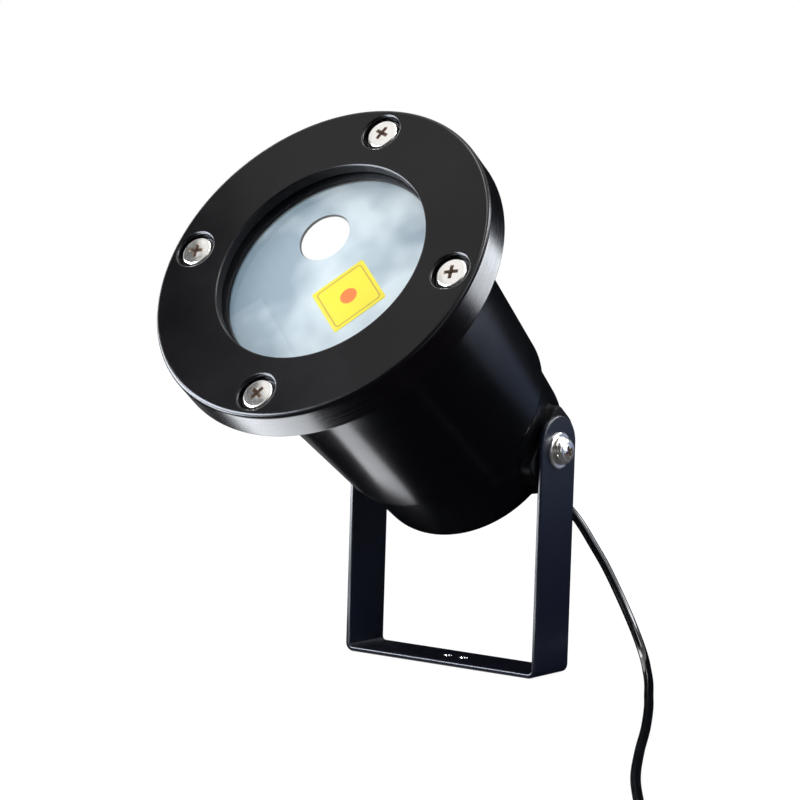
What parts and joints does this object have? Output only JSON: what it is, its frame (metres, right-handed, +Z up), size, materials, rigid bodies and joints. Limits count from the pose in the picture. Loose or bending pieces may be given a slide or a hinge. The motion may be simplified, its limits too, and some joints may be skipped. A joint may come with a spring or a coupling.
{
  "type": "outdoor laser light projector",
  "caption": "Outdoor laser light projector: tapered black lamp body with a flat screwed face ring, tilting on a U bracket, low-voltage cord coiled.",
  "frame": {"origin": "middle of the underside of the bracket's base strip", "axes": "+X along the base strip to the right arm as seen from the front, -Y the side the lamp points to, +Z up"},
  "size_m": [0.2306, 0.2547, 0.145],
  "materials": {
    "black_paint": "semi-gloss black paint",
    "painted_casting": "die casting in semi-gloss black paint",
    "nickel": "bright nickel plate",
    "clear_glass": "clear, polished",
    "black_rubber": "matte",
    "plate_enamel": "pale grey-blue enamel",
    "white_film": "frosted film",
    "bare_aluminium": "machined",
    "brass": "turned",
    "grating_film": "clear embossed film",
    "board_green": "solder mask",
    "component_black": "moulded",
    "wire_red": "insulation",
    "cord_black": "satin jacket",
    "tie_white": "moulded"
  },
  "bodies": {
    "bracket": {"u_bracket": "black_paint", "cord_lead": "cord_black", "cord_coil": "cord_black", "cord_tail": "cord_black", "coil_tie": "tie_white", "dc_plug_body": "black_rubber", "dc_plug_barrel": "nickel"},
    "head": {"face_ring": "painted_casting", "housing": "painted_casting", "face_screw_right": "nickel", "face_screw_top": "nickel", "face_screw_left": "nickel", "face_screw_bottom": "nickel", "front_glass": "clear_glass", "glass_gasket": "black_rubber", "front_plate": "plate_enamel", "grating_window": "white_film", "pivot_screw_right": "nickel", "pivot_screw_left": "nickel", "spring_washer_right": "nickel", "spring_washer_left": "nickel", "flat_washer_right": "nickel", "flat_washer_left": "nickel", "laser_barrel": "brass", "collimator_lens": "clear_glass", "lens_ring": "brass", "laser_diode": "brass", "heat_sink": "bare_aluminium", "grating_motor": "bare_aluminium", "driver_board": "board_green", "driver_choke": "component_black", "driver_capacitor": "component_black", "driver_chip": "component_black", "wire_terminal": "board_green", "board_standoff_1": "brass", "board_standoff_2": "brass", "board_standoff_3": "brass", "board_screw_1": "nickel", "board_screw_2": "nickel", "board_screw_3": "nickel", "laser_wire_red": "wire_red", "laser_wire_black": "cord_black", "motor_wire_red": "wire_red", "motor_wire_black": "cord_black", "supply_wire_red": "wire_red", "supply_wire_black": "cord_black", "cord_gland": "black_rubber", "gland_nut": "component_black"},
    "grating": {"grating_wheel": "grating_film"}
  },
  "joints": [
    {"name": "head_tilt", "type": "hinge", "parent": "bracket", "child": "head", "pos_m": [0, 0, 0.0589], "axis": [-1, 0, 0], "range_deg": [-67.7, 52.3], "deforming": ["cord_lead"]},
    {"name": "grating_spin", "type": "hinge", "parent": "head", "child": "grating", "pos_m": [0, 0, 0.0589], "axis": [0, -0.7912, 0.6115], "continuous": true}
  ]
}
